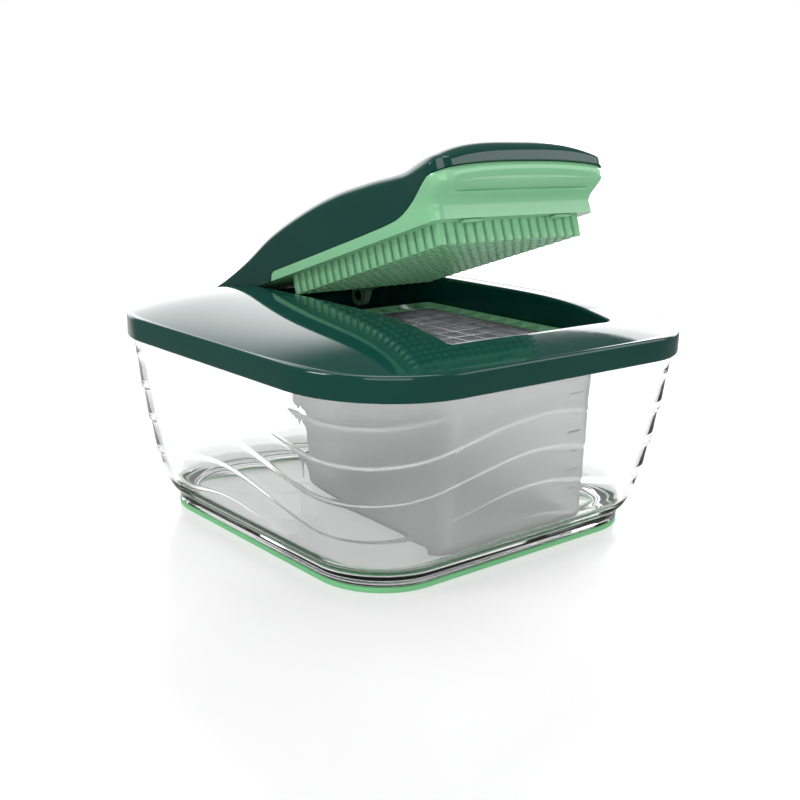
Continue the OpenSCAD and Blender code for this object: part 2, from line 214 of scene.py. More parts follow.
def side(a, b, m):
    return [(a[0] + (b[0] - a[0]) * i / m, a[1] + (b[1] - a[1]) * i / m) for i in range(1, m)]


def outline(x0, x1, y0, y1, r, n=12, mx=12, my=12):
    """Rounded rectangle, anticlockwise: n steps a corner, mx and my steps a side."""
    return (arc(x1 - r, y1 - r, r, 0, n) + side((x1 - r, y1), (x0 + r, y1), mx)
            + arc(x0 + r, y1 - r, r, 90, n) + side((x0, y1 - r), (x0, y0 + r), my)
            + arc(x0 + r, y0 + r, r, 180, n) + side((x0 + r, y0), (x1 - r, y0), mx)
            + arc(x1 - r, y0 + r, r, 270, n) + side((x1, y0 + r), (x1, y1 - r), my))


def square(half, r, n=12, m=12):
    return outline(-half, half, -half, half, r, n, m, m)


def lift(points, z):
    return [(x, y, z) for x, y in points]


def steps(a, b, n):
    return [a + (b - a) * i / n for i in range(n + 1)]


def lid_pose(points):
    """Turns points of the closed lid to the rest pose."""
    turn = (Matrix.Translation((0, HINGE_Y, HINGE_Z)) @ Matrix.Rotation(-LID_OPEN, 4, "X")
            @ Matrix.Translation((0, -HINGE_Y, -HINGE_Z)))
    return [tuple(turn @ Vector(p)) for p in points]


# ---- meshes ----

def make_mesh(name, points, faces, angle=40):
    """Object from points in millimetres, smooth but for edges sharper than angle."""
    mesh = bpy.data.meshes.new(name)
    mesh.from_pydata([tuple(c * MM for c in p) for p in points], [], faces)
    mesh.validate()
    mesh.shade_smooth()
    mesh.set_sharp_from_angle(angle=math.radians(angle))
    obj = bpy.data.objects.new(name, mesh)
    bpy.context.collection.objects.link(obj)
    return obj


def skin(name, rings, closed=False, angle=40, posed=False):
    """Closed solid through a stack of rings; closed joins the last ring to the first."""
    n, k = len(rings[0]), len(rings)
    points = [p for ring in rings for p in ring]
    faces = []
    for i in range(k if closed else k - 1):
        low, high = i * n, (i + 1) % k * n
        for j in range(n):
            faces.append((low + j, low + (j + 1) % n, high + (j + 1) % n, high + j))
    if not closed:
        faces.append(tuple(reversed(range(n))))
        faces.append(tuple(range((k - 1) * n, k * n)))
    return make_mesh(name, lid_pose(points) if posed else points, faces, angle)


def merged(name, parts, angle=40, posed=False):
    """One object from several (points, faces) shells."""
    points, faces = [], []
    for part_points, part_faces in parts:
        base = len(points)
        points += part_points
        faces += [tuple(base + i for i in face) for face in part_faces]
    return make_mesh(name, lid_pose(points) if posed else points, faces, angle)


def block(x0, x1, y0, y1, z0, z1, bevel=0.4):
    """Box with its edges cut back by bevel, as (points, faces)."""
    def loop(inset, z):
        a, b, c, d = x0 + inset, x1 - inset, y0 + inset, y1 - inset
        e = bevel
        return [(a + e, c, z), (b - e, c, z), (b, c + e, z), (b, d - e, z),
                (b - e, d, z), (a + e, d, z), (a, d - e, z), (a, c + e, z)]
    rings = [loop(bevel, z0), loop(0, z0 + bevel), loop(0, z1 - bevel), loop(bevel, z1)]
    return shell(rings)


def shell(rings):
    """Closed shell through a stack of rings, as (points, faces)."""
    n, k = len(rings[0]), len(rings)
    faces = [tuple(reversed(range(n))), tuple(range((k - 1) * n, k * n))]
    for i in range(k - 1):
        for j in range(n):
            faces.append((i * n + j, i * n + (j + 1) % n, (i + 1) * n + (j + 1) % n, (i + 1) * n + j))
    return [p for ring in rings for p in ring], faces


def finish_piece(obj, body, material, slot, *nodes):
    """Gives a piece its material and its body, and hides the nodes that it stands for."""
    obj.data.materials.append(material)
    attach(obj, body)
    if nodes:
        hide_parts(*nodes)
    return obj


# ---- materials ----

def new_material(name):
    material = bpy.data.materials.new(name)
    material.use_nodes = True
    return material, material.node_tree, material.node_tree.nodes["Principled BSDF"]


def noise(tree, scale, detail=4.0, stretch=(1, 1, 1)):
    """Noise in object space, with its pattern stretched."""
    coords = tree.nodes.new("ShaderNodeTexCoord")
    mapping = tree.nodes.new("ShaderNodeMapping")
    mapping.inputs["Scale"].default_value = stretch
    texture = tree.nodes.new("ShaderNodeTexNoise")
    texture.inputs["Scale"].default_value = scale
    texture.inputs["Detail"].default_value = detail
    tree.links.new(coords.outputs["Object"], mapping.inputs["Vector"])
    tree.links.new(mapping.outputs["Vector"], texture.inputs["Vector"])
    return texture.outputs["Fac"]


def spread(tree, value, low, high):
    """Maps a noise value to a range."""
    node = tree.nodes.new("ShaderNodeMapRange")
    node.inputs["From Min"].default_value = 0.3
    node.inputs["From Max"].default_value = 0.7
    node.inputs["To Min"].default_value = low
    node.inputs["To Max"].default_value = high
    tree.links.new(value, node.inputs["Value"])
    return node.outputs["Result"]


def tint(tree, value, dark, light):
    """Mixes two colours by a noise value."""
    node = tree.nodes.new("ShaderNodeMix")
    node.data_type = "RGBA"
    node.inputs[6].default_value = (*dark, 1)
    node.inputs[7].default_value = (*light, 1)
    tree.links.new(spread(tree, value, 0, 1), node.inputs["Factor"])
    return node.outputs[2]


def bump(tree, shader, value, distance):
    node = tree.nodes.new("ShaderNodeBump")
    node.inputs["Strength"].default_value = 1
    node.inputs["Distance"].default_value = distance
    tree.links.new(value, node.inputs["Height"])
    tree.links.new(node.outputs["Normal"], shader.inputs["Normal"])


def moulded_plastic(name, dark, light, rough, ripple, grain):
    """Moulded plastic: faint flow in its colour, roughness that varies, and surface ripple."""
    material, tree, shader = new_material(name)
    tree.links.new(tint(tree, noise(tree, 14, 2), dark, light), shader.inputs["Base Color"])
    tree.links.new(spread(tree, noise(tree, 160, 3), *rough), shader.inputs["Roughness"])
    bump(tree, shader, noise(tree, grain, 3), ripple)
    return material, shader


def dark_green_gloss():
    material, shader = moulded_plastic("dark_green_gloss", (0.0028, 0.044, 0.034),
                                       (0.0036, 0.050, 0.039), (0.04, 0.08), 0.000015, 30)
    shader.inputs["IOR"].default_value = 1.5
    return material


def light_green_plastic():
    material, shader = moulded_plastic("light_green_plastic", (0.235, 0.545, 0.30),
                                       (0.25, 0.57, 0.315), (0.12, 0.17), 0.00001, 120)
    shader.inputs["Subsurface Weight"].default_value = 0.12
    shader.inputs["Subsurface Radius"].default_value = (0.004, 0.008, 0.005)
    shader.inputs["Subsurface Scale"].default_value = 0.3
    return material


def soft_grip():
    material, shader = moulded_plastic("soft_grip", (0.16, 0.52, 0.22), (0.20, 0.60, 0.27),
                                       (0.38, 0.5), 0.00002, 1500)
    shader.inputs["Sheen Weight"].default_value = 0.1
    return material


def clear_plastic():
    material, tree, shader = new_material("clear_plastic")
    shader.inputs["Base Color"].default_value = (0.94, 0.95, 0.945, 1)
    shader.inputs["Transmission Weight"].default_value = 1
    shader.inputs["IOR"].default_value = 1.46
    tree.links.new(spread(tree, noise(tree, 150, 5), 0.0, 0.03), shader.inputs["Roughness"])
    bump(tree, shader, noise(tree, 30, 2), 0.00003)
    return material


def frosted_plastic():
    material, tree, shader = new_material("frosted_plastic")
    tree.links.new(tint(tree, noise(tree, 25, 5), (0.985, 0.988, 0.985), (0.995, 0.996, 0.995)),
                   shader.inputs["Base Color"])
    shader.inputs["Transmission Weight"].default_value = 0.85
    shader.inputs["IOR"].default_value = 1.35
    tree.links.new(spread(tree, noise(tree, 120, 3), 0.34, 0.42), shader.inputs["Roughness"])
    bump(tree, shader, noise(tree, 1800, 3), 0.00002)
    return material


def brushed_steel(name, stretch, rough):
    """Steel ground in one direction."""
    material, tree, shader = new_material(name)
    grain = noise(tree, 400, 6, stretch)
    tree.links.new(tint(tree, grain, (0.60, 0.61, 0.62), (0.78, 0.79, 0.80)),
                   shader.inputs["Base Color"])
    shader.inputs["Metallic"].default_value = 1
    tree.links.new(spread(tree, grain, *rough), shader.inputs["Roughness"])
    bump(tree, shader, grain, 0.00001)
    return material


DARK_GREEN = dark_green_gloss()
LIGHT_GREEN = light_green_plastic()
SOFT_GRIP = soft_grip()
CLEAR = clear_plastic()
FROSTED = frosted_plastic()
LONG_STEEL = brushed_steel("blade_steel_along", (4, 0.1, 4), (0.12, 0.26))
CROSS_STEEL = brushed_steel("blade_steel_across", (0.1, 4, 4), (0.12, 0.26))
PIN_STEEL = brushed_steel("hinge_steel", (4, 1, 1), (0.15, 0.3))


# ---- container ----

def bowl_half(z):
    rise = max(0.0, (z - BOWL_START) / (BOWL_TOP - BOWL_START))
    return BOWL_LOW_HALF + (BOWL_TOP_HALF - BOWL_LOW_HALF) * rise ** BOWL_POWER


def wave_relief(x, y, z):
    """How far the moulded waves stand out: a step at each wave line, fading upwards."""
    turn = math.atan2(y, x) + math.radians(3)
    line = WAVE_FIRST + WAVE_SWING * math.cos(4 * turn)
    phase = (z - line) / WAVE_PITCH
    part = phase - math.floor(phase)
    swell = ramp(0, 0.08, part) * (1 - part) ** 1.3
    return WAVE_DEPTH * swell * ramp(16, 24, z) * (1 - ramp(76, 90, z))


def bowl_ring(half, z, inset=0.0, relief=0.0):
    """Ring of the container's wall; relief is the share of the wave relief it takes."""
    h = half - inset
    r = FOOT_CORNER + BOWL_CORNER_GROWTH * (half - FOOT_HALF) - inset
    ring = []
    for x, y in square(h, r, 28, 44):
        push = 1 + relief * wave_relief(x, y, z) / h
        ring.append((x * push, y * push, z))
    return ring


def container():
    foot = [(FOOT_HALF - 1.0, GRIP_HEIGHT), (FOOT_HALF - 0.4, GRIP_HEIGHT + 0.15),
            (FOOT_HALF - 0.1, GRIP_HEIGHT + 0.6), (FOOT_HALF, 4.6), (FOOT_HALF + 0.2, 5.8),
            (FOOT_HALF + 0.5, 6.8), (FOOT_HALF + 1.0, 8), (FOOT_HALF + 1.5, 9)]
    levels = steps(BOWL_START, BOWL_TOP - 0.8, 110)
    outside = [bowl_ring(bowl_half(z), z, relief=ramp(12, 22, z)) for z in levels]
    inside = [bowl_ring(bowl_half(z), z, BOWL_WALL) for z in steps(17, BOWL_TOP - 0.8, 30)]
    rim = [bowl_ring(BOWL_TOP_HALF, BOWL_TOP - 0.2, 0.7), bowl_ring(BOWL_TOP_HALF, BOWL_TOP, 1.2),
           bowl_ring(BOWL_TOP_HALF, BOWL_TOP - 0.2, 1.8)]
    floor = [bowl_ring(bowl_half(15), 15, 2.5), bowl_ring(bowl_half(13), 12.8, 3.1),
             bowl_ring(bowl_half(11), 10.8, 4.4), bowl_ring(BOWL_LOW_HALF, 9.4, 6),
             bowl_ring(BOWL_LOW_HALF, 8.8, 8), bowl_ring(BOWL_LOW_HALF, BOWL_FLOOR, 11)]
    base = [bowl_ring(FOOT_INNER - 3, GRIP_HEIGHT + 2), bowl_ring(FOOT_INNER - 1, GRIP_HEIGHT + 1.7),
            bowl_ring(FOOT_INNER + 0.6, GRIP_HEIGHT + 0.6), bowl_ring(FOOT_INNER + 1.5, GRIP_HEIGHT)]
    rings = (base + [bowl_ring(*level) for level in foot] + outside + rim
             + list(reversed(inside)) + floor)
    obj = skin("clear_container", rings, angle=50)
    return finish_piece(obj, "container", CLEAR, "clear_container", "container_bowl")


def grip_ring():
    def ring(half, z):
        return lift(square(half, FOOT_CORNER + half - FOOT_HALF, 24, 8), z)
    top = GRIP_HEIGHT
    profile = [(FOOT_INNER + 0.4, 0.0), (FOOT_HALF - 1.2, 0.0), (FOOT_HALF - 0.5, 0.15),
               (FOOT_HALF - 0.1, 0.6), (FOOT_HALF, 1.2), (FOOT_HALF, 2.2), (FOOT_HALF - 0.2, 2.7),
               (FOOT_HALF - 0.8, top - 0.05), (FOOT_INNER + 0.4, top - 0.05), (FOOT_INNER, top - 0.5),
               (FOOT_INNER, 0.5)]
    obj = skin("soft_grip_ring", [ring(*p) for p in profile], closed=True, angle=30)
    return finish_piece(obj, "container", SOFT_GRIP, "soft_grip", "base_grip_ring")


# ---- collection box ----

def collection_box():
    def ring(half_x, half_y, r, z):
        return lift(outline(-half_x, half_x, GRID_Y - half_y, GRID_Y + half_y, r, 10, 6, 8), z)
    w = BOX_WALL
    outside = [ring(46.5, 59.5, 5, BOX_BOTTOM), ring(47.6, 60.6, 6, BOX_BOTTOM + 0.3),
               ring(48.3, 61.3, 7, BOX_BOTTOM + 1.2), ring(48.6, 61.6, 7, BOX_BOTTOM + 3),
               ring(50.6, 63.6, 8, BOX_TOP - 6), ring(51, 64, 8, BOX_TOP - 5.6),
               ring(51, 64, 8, BOX_TOP - 0.4), ring(50.7, 63.7, 7.7, BOX_TOP)]
    inside = [ring(51 - w, 64 - w, 8 - w, BOX_TOP), ring(50.6 - w, 63.6 - w, 8 - w, BOX_TOP - 1),
              ring(48.6 - w, 61.6 - w, 7 - w, BOX_BOTTOM + 5), ring(48 - w, 61 - w, 6 - w, BOX_BOTTOM + 3),
              ring(46.8 - w, 59.8 - w, 5 - w, BOX_BOTTOM + 2)]
    obj = skin("frosted_box", outside + inside)
    return finish_piece(obj, "box", FROSTED, "frosted_box", "collection_box")


def box_marks():
    """Raised level marks on the box's front."""
    parts = []
    for i in range(MARK_COUNT):
        z = MARK_FIRST + MARK_PITCH * i
        wall = GRID_Y - 61.6 - 2 * (z - BOX_BOTTOM - 3) / (BOX_TOP - 9 - BOX_BOTTOM)
        length = MARK_LONG if i % 2 else MARK_SHORT
        parts.append(block(MARK_END - length, MARK_END, wall - 0.35, wall + 0.3,
                           z - 0.4, z + 0.4, 0.15))
    obj = merged("box_level_marks", parts)
    return finish_piece(obj, "box", FROSTED, "frosted_box")


# ---- deck ----

def crown(x, y):
    s = DECK_HALF - CROWN_EDGE
    contour = ((abs(x) / s) ** CONTOUR_POWER + (abs(y) / s) ** CONTOUR_POWER) ** (1 / CONTOUR_POWER)
    return RIM_TOP + CROWN_RISE * (1 - min(1, contour) ** CROWN_POWER)


def seat_outline(half, r):
    return square(half, r, 20, 36)


def deck_outline(inset):
    return square(DECK_HALF - inset, DECK_CORNER - inset, 20, 36)


def well_outline(out):
    return outline(-WELL_HALF - out, WELL_HALF + out, WELL_FRONT - out, WELL_BACK + out,
                   WELL_CORNER + out, 20, 36, 36)


def crown_ring(t, out, inset, drop):
    ring = []
    for (ax, ay), (bx, by) in zip(well_outline(out), deck_outline(inset)):
        x, y = ax + (bx - ax) * t, ay + (by - ay) * t
        ring.append((x, y, crown(x, y) - drop))
    return ring


def well_ring(out, drop):
    return [(x, y, crown(x, y) - drop) for x, y in well_outline(out)]


def deck_shell():
    bow = [math.radians(a) for a in (0, 15, 30, 45, 60, 75, 90)]
    under = [crown_ring(t, WELL_WALL, DECK_HALF - SEAT_INNER + 1, DECK_WALL)
             for t in steps(0.04, 0.96, 14)]
    skirt = [lift(seat_outline(SEAT_INNER, SEAT_INNER_CORNER), RIM_TOP - DECK_WALL),
             lift(seat_outline(SEAT_INNER, SEAT_INNER_CORNER), BOWL_TOP + 0.3),
             lift(seat_outline(SEAT_OUTER, SEAT_OUTER_CORNER), BOWL_TOP + 0.3),
             lift(seat_outline(SEAT_OUTER, SEAT_OUTER_CORNER), DECK_BOTTOM + 0.3),
             lift(seat_outline(SEAT_OUTER + 0.3, SEAT_OUTER_CORNER + 0.3), DECK_BOTTOM)]
    rim = [lift(deck_outline(0.9), DECK_BOTTOM), lift(deck_outline(0.3), DECK_BOTTOM + 0.25),
           lift(deck_outline(0), DECK_BOTTOM + 0.9), lift(deck_outline(0), RIM_TOP - 4)]
    rim += [lift(deck_outline(CROWN_EDGE * (1 - math.cos(a))), RIM_TOP - RIM_ROUND * (1 - math.sin(a)))
            for a in bow[:-1]]
    top = [crown_ring(1 - t * t, WELL_EDGE, CROWN_EDGE, 0) for t in steps(0, 1, 26)]
    edge = [well_ring(WELL_EDGE * (1 - math.cos(a)), WELL_EDGE * (1 - math.sin(a)))
            for a in reversed(bow[:-1])]
    rings = ([lift(well_outline(WELL_WALL), DECK_BOTTOM), well_ring(WELL_WALL, DECK_WALL)]
             + under + skirt + rim + top + edge + [lift(well_outline(0), DECK_BOTTOM)])
    obj = skin("deck_shell", rings, closed=True, angle=45)
    return finish_piece(obj, "deck", DARK_GREEN, "dark_green_gloss", "deck_frame")


def deck_ledge():
    """Flange in the well that the blade insert rests on."""
    def outer(z):
        half = WELL_HALF + 1
        return lift(outline(-half, half, WELL_FRONT - 1, RECESS_FRONT + 1, WELL_CORNER, 8, 4, 4), z)

    def inner(z):
        half_y = GRID_HALF_Y + 1.3
        return lift(outline(-LEDGE_INNER, LEDGE_INNER, GRID_Y - half_y, GRID_Y + half_y, 4, 8, 4, 4), z)
    rings = [outer(DECK_BOTTOM), outer(LEDGE_TOP), inner(LEDGE_TOP), inner(DECK_BOTTOM)]
    obj = skin("deck_ledge", rings, closed=True)
    return finish_piece(obj, "deck", DARK_GREEN, "dark_green_gloss", "deck_frame")


def deck_trough():
    """Sunk trough behind the grid that the lid's tail turns into."""
    low = RECESS_FLOOR - RECESS_WALL

    def outer(z, cut=0.0):
        half = WELL_HALF + WELL_WALL - cut
        return lift(outline(-half, half, RECESS_FRONT + cut, WELL_BACK + WELL_WALL - cut,
                            WELL_CORNER - cut, 8, 4, 4), z)

    def inner(z, cut=0.0):
        half = WELL_HALF - cut
        return lift(outline(-half, half, RECESS_FRONT + WELL_WALL + cut, WELL_BACK - cut,
                            WELL_CORNER - 1 - cut, 8, 4, 4), z)
    rings = [outer(low, 1), outer(low + 1), outer(DECK_BOTTOM + 0.4), inner(DECK_BOTTOM + 0.4),
             inner(RECESS_FLOOR + 1), inner(RECESS_FLOOR, 1)]
    rib = block(-WELL_HALF - 0.3, WELL_HALF + 0.3, RECESS_FRONT, RECESS_FRONT + WELL_WALL,
                low + 2, RIB_TOP)
    obj = merged("deck_trough", [shell(rings), rib])
    return finish_piece(obj, "deck", DARK_GREEN, "dark_green_gloss", "deck_frame")


def hinge_bosses():
    """Round bosses outside the well's walls that hold the hinge pins."""
    parts = []
    for s in (-1, 1):
        rings = []
        end = WELL_HALF + 1 + BOSS_LENGTH
        angles = [2 * math.pi * i / 32 * s for i in range(32)]
        for x, r in ((WELL_HALF + 1, BOSS_R), (end - 0.6, BOSS_R), (end, BOSS_R - 0.6)):
            rings.append([(s * x, HINGE_Y + r * math.cos(a), HINGE_Z + r * math.sin(a)) for a in angles])
        parts.append(shell(rings))
    obj = merged("hinge_bosses", parts)
    return finish_piece(obj, "deck", DARK_GREEN, "dark_green_gloss", "deck_frame")


# ---- lid ----

def edge_height(y):
    """Height of the cover's edge: the side curve, then the barrel round the hinge."""
    if y < HINGE_Y:
        return curve(EDGE_CURVE, y)
    return HINGE_Z + math.sqrt(max(0.0, BARREL_R ** 2 - (y - HINGE_Y) ** 2))


def share_out(x):
    """0 in the middle of the lid, 1 at its side."""
    return min(1.0, abs(x) / LID_HALF)


def cover_rise(x):
    """Rise above the edge: a rounded shoulder and a flat crown."""
    d = max(0.0, abs(x) - (LID_HALF - EDGE_ROUND)) / EDGE_ROUND
    shoulder = EDGE_RISE * math.sqrt(max(0.0, 1 - d * d))
    return shoulder + COVER_CROWN * (1 - share_out(x) ** CROWN_ROLL)


def nose(y):
    """0 at the cover's front end, 1 where its top has rounded up to its full rise."""
    return math.sqrt(max(0.0, 1 - (max(0.0, LID_FRONT + NOSE_LENGTH - y) / NOSE_LENGTH) ** 2))


def arch(x):
    """Rise of the front's lower edge towards the middle."""
    return ARCH_RISE * (1 - share_out(x) ** ARCH_POWER)


def cover_height(x, y):
    front = FRONT_LIFT * (1 - share_out(x) ** 4) * ramp(-65, -100, y)
    return (edge_height(y) + arch(x) * (1 - nose(y)) + front
            + cover_rise(x) * nose(y) * (1 - 0.95 * ramp(40, 100, y)))


def strip_fall(y):
    """Top of the side strip where it rounds off at its rear end."""
    d = min(1.0, max(0.0, y - (STRIP_END - STRIP_ROUND)) / STRIP_ROUND)
    return LID_BOTTOM + (STRIP_TOP - LID_BOTTOM) * math.sqrt(1 - d * d)


def parting(x, y):
    """Height of the joint between the body and the cover."""
    if y > STRIP_END - STRIP_ROUND:
        return strip_fall(y)
    return curve(PARTING_CURVE, y) + arch(x) * (1 - ramp(LID_FRONT, LID_FRONT + 8, y))


def cover_low(x, y):
    if y < STRIP_END - STRIP_ROUND:
        return parting(x, y) + PARTING_GAP
    tail = LID_BOTTOM - 0.2 - 2.3 * ramp(99, 106, y)
    return max(tail, strip_fall(y) + PARTING_GAP) if y < STRIP_END else tail


def flare(y, z):
    """Share by which the sides lean outwards at the top of the front."""
    return 1 + FLARE_OUT / LID_HALF * ramp(-75, -103, y) * ramp(113, 126, z)


def lid_outline(inset):
    """Outline of the lid, with wider corners in front than behind."""
    half, front, back = LID_HALF - inset, LID_FRONT + inset, LID_BACK - inset
    r, f = LID_CORNER - inset, LID_FRONT_CORNER - inset
    return (arc(half - r, back - r, r, 0, 12) + side((half - r, back), (r - half, back), 30)
            + arc(r - half, back - r, r, 90, 12) + side((-half, back - r), (-half, front + f), 110)
            + arc(f - half, front + f, f, 180, 20) + side((f - half, front), (half - f, front), 30)
            + arc(half - f, front + f, f, 270, 20) + side((half, front + f), (half, back - r), 110))


def cover_ring(t, inset, drop):
    mid = (LID_FRONT + LID_BACK) / 2
    ring = []
    for px, py in lid_outline(inset):
        x, y = px * t, mid + (py - mid) * t
        z = cover_height(x, y) - drop
        ring.append((x * flare(y, z), y, z))
    return ring


def cover_wall_ring(t, inset, drop):
    """Ring on the cover's side wall, a share t of the way down from its edge."""
    ring = []
    for x, y in lid_outline(inset):
        top, low = cover_height(x, y) - drop, cover_low(x, y)
        z = top + (low - top) * t
        ring.append((x * flare(y, z), y, z))
    return ring


def lid_cover():
    outer = [0.02, 0.15, 0.3, 0.42, 0.54, 0.64, 0.72, 0.79, 0.84, 0.88, 0.905, 0.92, 0.935,
             0.95, 0.962, 0.973, 0.982, 0.989, 0.994, 0.998, 1]
    inner = [0.02, 0.3, 0.55, 0.75, 0.88, 0.95, 1]
    rings = ([cover_ring(t, COVER_WALL, COVER_WALL) for t in inner]
             + [cover_wall_ring(t, COVER_WALL, COVER_WALL) for t in (0.5, 1)]
             + [cover_wall_ring(t, 0, 0) for t in (1, 0.8, 0.6, 0.4, 0.2)]
             + [cover_ring(t, 0, 0) for t in reversed(outer)])
    obj = skin("lid_cover_shell", rings, angle=38, posed=True)
    return finish_piece(obj, "lid", DARK_GREEN, "dark_green_gloss", "lid_cover")


def grip_y(x, z, scoop):
    """Front of the grip: an upright band, a ridge, the scooped underside of the lip, the lip."""
    lip = parting(x, LID_FRONT)
    middle = 1 - ramp(40, 48, abs(x))
    y = -97 - 10.1 * ramp(112.5, 122.5, z) ** 1.1 + 1.0 * ramp(lip - 2.5, lip + 0.5, z)
    if scoop:
        ridge = ramp(115.2, 116.4, z) * (1 - ramp(117.4, 118, z))
        hollow = ramp(117.6, 118.6, z) * (1 - ramp(lip - 7, lip - 3.6, z))
        y += middle * (2.2 * hollow - 0.5 * ridge)
    return y


def grip_point(x_sign, x_share, y, share, inset, scoop, arc_share=None):
    """Point of the grip's U-shaped run, at a share of the height up to the parting line."""
    z = LID_BOTTOM + 10 * share
    for _ in range(5):
        half = LID_HALF - inset
        r = 5 + (LID_FRONT_CORNER - 5) * ramp(110, 122, z) - inset
        if arc_share is not None:
            a = arc_share * math.pi / 2
            x = x_sign * (half - r + r * math.cos(a))
            front = grip_y(abs(x), z, scoop) + inset
            y_now = front + r - r * math.sin(a)
        elif y is None:
            x = x_share * (half - r)
            y_now = grip_y(x, z, scoop) + inset
        else:
            start = grip_y(half, z, scoop) + inset + r
            x = x_sign * half
            y_now = -70 + (start + 70) * (y + 70) / -18 if y < -70 else y
        top = parting(x, y_now)
        z = LID_BOTTOM + (top - LID_BOTTOM) * share
    return (x * flare(y_now, z), y_now, z)


def grip_section(share, inset, scoop):
    """U-shaped run round the lid, from the left strip's end to the right one's."""
    back = steps(STRIP_END - inset, -70, 60) + steps(-70, -88, 10)[1:]
    arcs = steps(0, 1, 14)[1:]
    fronts = steps(-1, 1, 48)[1:-1]
    return ([grip_point(-1, 0, y, share, inset, scoop) for y in back]
            + [grip_point(-1, 0, None, share, inset, scoop, a) for a in arcs]
            + [grip_point(0, t, None, share, inset, scoop) for t in fronts]
            + [grip_point(1, 0, None, share, inset, scoop, a) for a in reversed(arcs)]
            + [grip_point(1, 0, y, share, inset, scoop) for y in reversed(back)])


def lid_grip():
    """Body of the lid that shows: the grip in front and the strips along the sides."""
    outer = [grip_section(t, 0, True) for t in [0, 0.03] + steps(0.08, 0.97, 44) + [1]]
    inner = [grip_section(t, 2, False) for t in steps(1, 0, 10)]
    rings = outer + inner
    n, k = len(rings[0]), len(rings)
    faces = []
    for i in range(k):
        for j in range(n - 1):
            a, b = i * n + j, (i + 1) % k * n + j
            faces.append((a, a + 1, b + 1, b))
    faces.append(tuple(i * n for i in range(k)))
    faces.append(tuple(reversed([i * n + n - 1 for i in range(k)])))
    obj = make_mesh("lid_grip", lid_pose([p for ring in rings for p in ring]), faces, 32)
    return finish_piece(obj, "lid", LIGHT_GREEN, "light_green_plastic", "lid_body")


def lid_tray():
    """Tray behind the pin plate, with the two hinge arms and their ears."""
    z0 = LID_BOTTOM + PLATE_THICK + 0.1
    parts = [block(-LID_HALF + 2.1, LID_HALF - 2.1, -94.5, STRIP_END - 2, z0, z0 + TRAY_THICK),
             block(-ARM_OUTER, ARM_OUTER, STRIP_END - 3, 84, z0, z0 + TRAY_THICK)]
    profile = [(45, z0 + 0.1), (86, LID_BOTTOM - 4), (HINGE_Y - 5, HINGE_Z - 4.2)]
    profile += [(HINGE_Y + EAR_R * math.cos(a), HINGE_Z + EAR_R * math.sin(a))
                for a in (math.radians(-125 + 12 * i) for i in range(18))]
    profile += [(80, 111.4), (45, 111.4)]
    for s in (-1, 1):
        xs = (ARM_INNER, ARM_OUTER) if s > 0 else (-ARM_OUTER, -ARM_INNER)
        parts.append(shell([[(x, y, z) for y, z in profile] for x in xs]))
    obj = merged("lid_tray", parts, posed=True)
    return finish_piece(obj, "lid", LIGHT_GREEN, "light_green_plastic", "lid_body")


def pusher_pin(x, y, top):
    """Square pin with softened edges and tip, as (points, faces)."""
    tip = top - PIN_LENGTH

    def loop(half, cut, z):
        a, b = half, half - cut
        return [(x + u, y + v, z) for u, v in
                ((-b, -a), (b, -a), (a, -b), (a, b), (b, a), (-b, a), (-a, b), (-a, -b))]
    h = PIN_SIDE / 2
    return shell([loop(h - 0.35, 0.3, tip), loop(h - 0.12, 0.3, tip + 0.25),
                  loop(h - 0.06, 0.3, tip + 0.6), loop(h, 0.3, top - 0.3), loop(h + 0.25, 0.3, top + 0.2)])


def pin_plate():
    """Pusher plate with its pins and the snap tabs along its front."""
    parts = [block(-PLATE_HALF, PLATE_HALF, PLATE_FRONT, PLATE_BACK, LID_BOTTOM, LID_BOTTOM + PLATE_THICK)]
    for i in range(PIN_COLUMNS):
        for j in range(PIN_ROWS):
            parts.append(pusher_pin(-GRID_HALF_X + (i + 0.5) * PIN_PITCH,
                                    GRID_Y - GRID_HALF_Y + (j + 0.5) * PIN_PITCH, LID_BOTTOM))
    for x in (-TAB_X, TAB_X):
        parts.append(block(x - 6, x + 6, PLATE_FRONT - 1.8, PLATE_FRONT + 2.8,
                           LID_BOTTOM - 1.6, LID_BOTTOM - 0.05, 0.6))
        parts.append(block(x - 5, x + 5, PLATE_FRONT + 0.2, PLATE_FRONT + 2.6,
                           LID_BOTTOM - 1, LID_BOTTOM + 0.5, 0.3))
    obj = merged("pusher_plate", parts, angle=50, posed=True)
    return finish_piece(obj, "pusher", LIGHT_GREEN, "light_green_plastic", "pin_plate")


# ---- carried-over nodes ----

def paint_nodes():
    for name, node in frame["nodes"].items():
        if name.startswith("long_blade"):
            material = LONG_STEEL
        elif name.startswith("cross_blade"):
            material = CROSS_STEEL
        elif name.startswith("hinge_pin"):
            material = PIN_STEEL
        elif name == "insert_frame":
            material = LIGHT_GREEN
        else:
            continue
        node.data.materials.clear()
        node.data.materials.append(material)


# ---- studio ----

def camera():
    """Camera in front and to the left, a little above the deck."""
    azimuth, elevation, roll = (math.radians(a) for a in (-40.4, 13.57, 1.32))
    data = bpy.data.cameras.new("camera")
    data.lens = 50.35
    data.sensor_width = 36
    data.shift_x = 0.0016
    data.shift_y = -0.0109
    back = Vector((math.sin(azimuth) * math.cos(elevation), -math.cos(azimuth) * math.cos(elevation),
                   math.sin(elevation)))
    right = Vector((0, 0, 1)).cross(back).normalized()
    up = back.cross(right)
    turned_right = right * math.cos(roll) + up * math.sin(roll)
    turned_up = up * math.cos(roll) - right * math.sin(roll)
    obj = bpy.data.objects.new("camera", data)
    obj.matrix_world = Matrix.Translation((-0.38329, -0.45074, 0.20831)) @ Matrix(
        (turned_right, turned_up, back)).transposed().to_4x4()
    bpy.context.collection.objects.link(obj)
    bpy.context.scene.camera = obj


